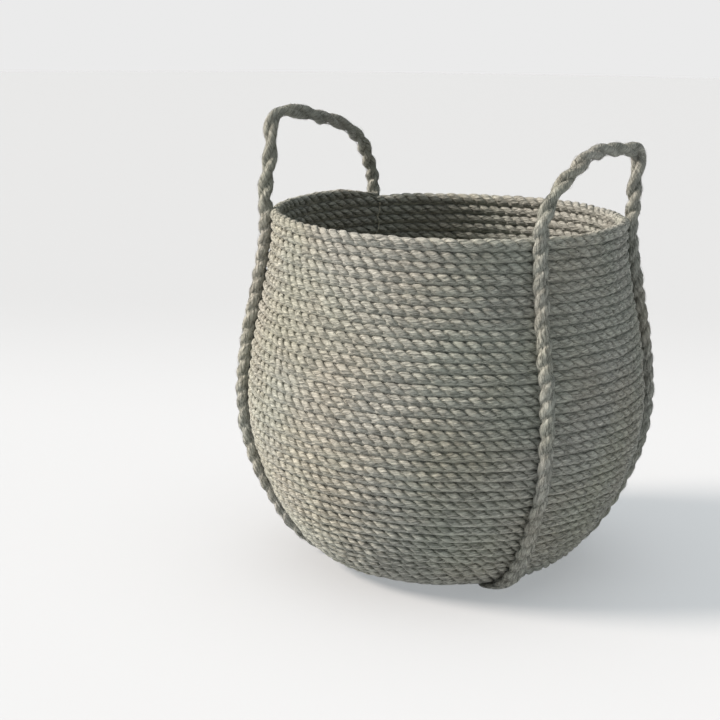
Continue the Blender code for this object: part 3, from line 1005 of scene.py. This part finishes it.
def winding_route():
    """Round and round the flat rope under the base, close together."""
    back = (LEG_AZIMUTHS["right_back"], LEG_AZIMUTHS["left_back"])
    line = run_stretch(*back, 0.0, 1.0)[0]
    steps = np.linalg.norm(np.diff(line, axis=0), axis=1)
    length = np.concatenate([[0.0], np.cumsum(steps)])
    turns = SPLICE_LENGTH / WINDING_PITCH
    turned = np.arange(0.0, turns, 1 / 72)
    along = length[-1] / 2 + (turned - turns / 2) * WINDING_PITCH
    middle = np.column_stack([np.interp(along, length, column) for column in line.T])
    heading = unit(np.gradient(middle, axis=0))
    side = np.cross(UP, heading)
    cos, sin = np.cos(math.tau * turned), np.sin(math.tau * turned)
    reach_side = WINDING_HALF_WIDTH * np.sign(cos) * np.abs(cos) ** 0.65
    reach_up = WINDING_HALF_HEIGHT * np.sign(sin) * np.abs(sin) ** 0.8
    outward = side * cos[:, None] + UP * sin[:, None]
    centre = middle + side * reach_side[:, None] + UP * reach_up[:, None]
    return make_route(centre, outward, THREAD_ROPE["lay"])


def sew_threads():
    routes = {f"leg_stitching_{leg}": stitch_route(where) for leg, where in LEG_AZIMUTHS.items()}
    routes["sling_splice"] = winding_route()
    for number, (name, route) in enumerate(routes.items()):
        end = route["length"][-1]
        piece = bend_rope(name + "_thread", THREAD_ROPE, route, 0.0, end, 0.6, 90 + number)
        slot = "thread" if name != "sling_splice" else "sling_rope"
        finish_piece(piece, THREAD_FINISH, slot, name)
        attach(piece, "basket")
        print(f"{name}_thread: {end:.2f} m")


sew_threads()

# %% [markdown]
# ## Stage, light and camera
# A pale floor, one soft key light from the left, a broad weak light from above, a third light that
# only the floor receives, and a camera at the height of someone who looks down at the basket. None
# of this belongs to the object.

# %% Floor
FLOOR_NEAR = (0.308, 0.311, 0.315, 1.0)
FLOOR_FAR = (0.274, 0.277, 0.280, 1.0)
FLOOR_FADE = (0.45, 1.55)  # from where to where the floor gets darker, behind the basket


def lay_floor():
    shape = bmesh.new()
    bmesh.ops.create_circle(shape, cap_ends=True, radius=9.0, segments=96)
    mesh = bpy.data.meshes.new("floor")
    shape.to_mesh(mesh)
    shape.free()
    floor = bpy.data.objects.new("floor", mesh)
    bpy.context.scene.collection.objects.link(floor)
    material = bpy.data.materials.new("pale floor")
    material.use_nodes = True
    shader = material.node_tree.nodes["Principled BSDF"]
    tree = material.node_tree
    place = put(tree, "ShaderNodeTexCoord").outputs["Object"]
    far = put(tree, "ShaderNodeSeparateXYZ", Vector=place).outputs["Y"]
    away = put(tree, "ShaderNodeMapRange", {"interpolation_type": "SMOOTHSTEP"}, Value=far)
    away.inputs["From Min"].default_value = FLOOR_FADE[0]
    away.inputs["From Max"].default_value = FLOOR_FADE[1]
    colour = mix_colours(tree, away.outputs[0], FLOOR_NEAR, FLOOR_FAR)
    tree.links.new(colour, shader.inputs["Base Color"])
    shader.inputs["Roughness"].default_value = 0.75
    shader.inputs["Specular IOR Level"].default_value = 0.2
    mesh.materials.append(material)
    return floor


FLOOR = lay_floor()


# %% Lights
def add_sun(name, azimuth_degrees, elevation_degrees, strength, softness_degrees, colour, on=None):
    """A far light, from an azimuth and an elevation. on is the only thing that it lights."""
    light = bpy.data.lights.new(name, "SUN")
    light.energy = strength
    light.angle = math.radians(softness_degrees)
    light.color = colour
    lamp = bpy.data.objects.new(name, light)
    elevation = math.radians(elevation_degrees)
    level = around(math.radians(azimuth_degrees), math.cos(elevation), math.sin(elevation))
    lamp.rotation_mode = "QUATERNION"
    lamp.rotation_quaternion = Vector(level).to_track_quat("Z", "Y")
    lamp.location = Vector(level) * 3.0
    bpy.context.scene.collection.objects.link(lamp)
    if on:
        lit = bpy.data.collections.new("lit by " + name)
        lit.objects.link(on)
        lamp.light_linking.receiver_collection = lit
        lamp.light_linking.blocker_collection = lit


def add_world(backdrop, strength):
    """Even light from all round, behind which the camera sees a plain backdrop."""
    world = bpy.data.worlds.new("studio")
    world.use_nodes = True
    tree = world.node_tree
    tree.nodes.clear()
    glow = put(tree, "ShaderNodeBackground", Color=(0.925, 0.985, 1.0, 1.0), Strength=strength)
    seen = put(tree, "ShaderNodeBackground", Color=(*backdrop, 1.0), Strength=1.0)
    rays = put(tree, "ShaderNodeLightPath")
    choice = put(tree, "ShaderNodeMixShader", i0=rays.outputs["Is Camera Ray"])
    tree.links.new(glow.outputs[0], choice.inputs[1])
    tree.links.new(seen.outputs[0], choice.inputs[2])
    out = tree.nodes.new("ShaderNodeOutputWorld")
    tree.links.new(choice.outputs[0], out.inputs[0])
    bpy.context.scene.world = world


add_sun("key", -82.0, 36.0, 5.4, 18.0, (1.0, 0.89, 0.81))
add_sun("top", 0.0, 84.0, 0.4, 75.0, (0.95, 0.99, 1.0))
add_sun("floor light", 0.0, 88.0, 5.1, 75.0, (0.96, 0.985, 1.0), on=FLOOR)
add_world(backdrop=(0.83, 0.83, 0.83), strength=0.30)


# %% Camera
def add_camera():
    lens = bpy.data.cameras.new("camera")
    lens.lens = 84.1
    lens.sensor_width = 36.0
    camera = bpy.data.objects.new("camera", lens)
    turned = Matrix.Rotation(math.radians(3.0), 4, "Z")
    tilted = Matrix.Rotation(math.radians(90.0 - 13.24), 4, "X")
    rolled = Matrix.Rotation(math.radians(0.6), 4, "Z")
    camera.matrix_world = Matrix.Translation((0.0, -1.867, 0.669)) @ turned @ tilted @ rolled
    bpy.context.scene.collection.objects.link(camera)
    bpy.context.scene.camera = camera


add_camera()
bpy.context.scene.view_settings.view_transform = "Standard"
